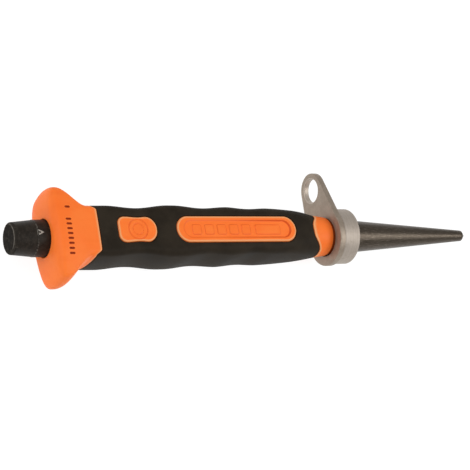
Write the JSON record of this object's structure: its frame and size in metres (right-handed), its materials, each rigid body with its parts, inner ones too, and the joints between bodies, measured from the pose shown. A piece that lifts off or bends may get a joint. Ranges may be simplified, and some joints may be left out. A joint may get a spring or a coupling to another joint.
{
  "type": "centre punch",
  "caption": "Steel punch with a tapered shank and conical point, a guarded two-component hand grip, and a swivelling lanyard eye held by a collar.",
  "frame": {"origin": "centre of the struck face, on the tool's axis", "axes": "+X along the tool's axis from the struck face to the point; +Z out of the grip's badge face; +Y completes the frame, towards the side the lanyard eye rests on"},
  "size_m": [0.184, 0.0409, 0.0204],
  "materials": {
    "black_steel": "black oxide, ground along the taper, worn at the struck end",
    "orange_plastic": "satin moulded",
    "black_rubber": "matt, fine grain",
    "satin_steel": "satin turned",
    "blasted_steel": "blasted and tumbled"
  },
  "bodies": {
    "tool": {"punch_bar": "black_steel", "grip_core": "orange_plastic", "grip_overmould": "black_rubber", "retaining_collar": "satin_steel"},
    "eye": {"swivel_eye": "blasted_steel"}
  },
  "joints": [
    {"name": "eye_swivel", "type": "hinge", "parent": "tool", "child": "eye", "pos_m": [0.12155, 0, 0], "axis": [1, 0, 0], "continuous": true}
  ]
}
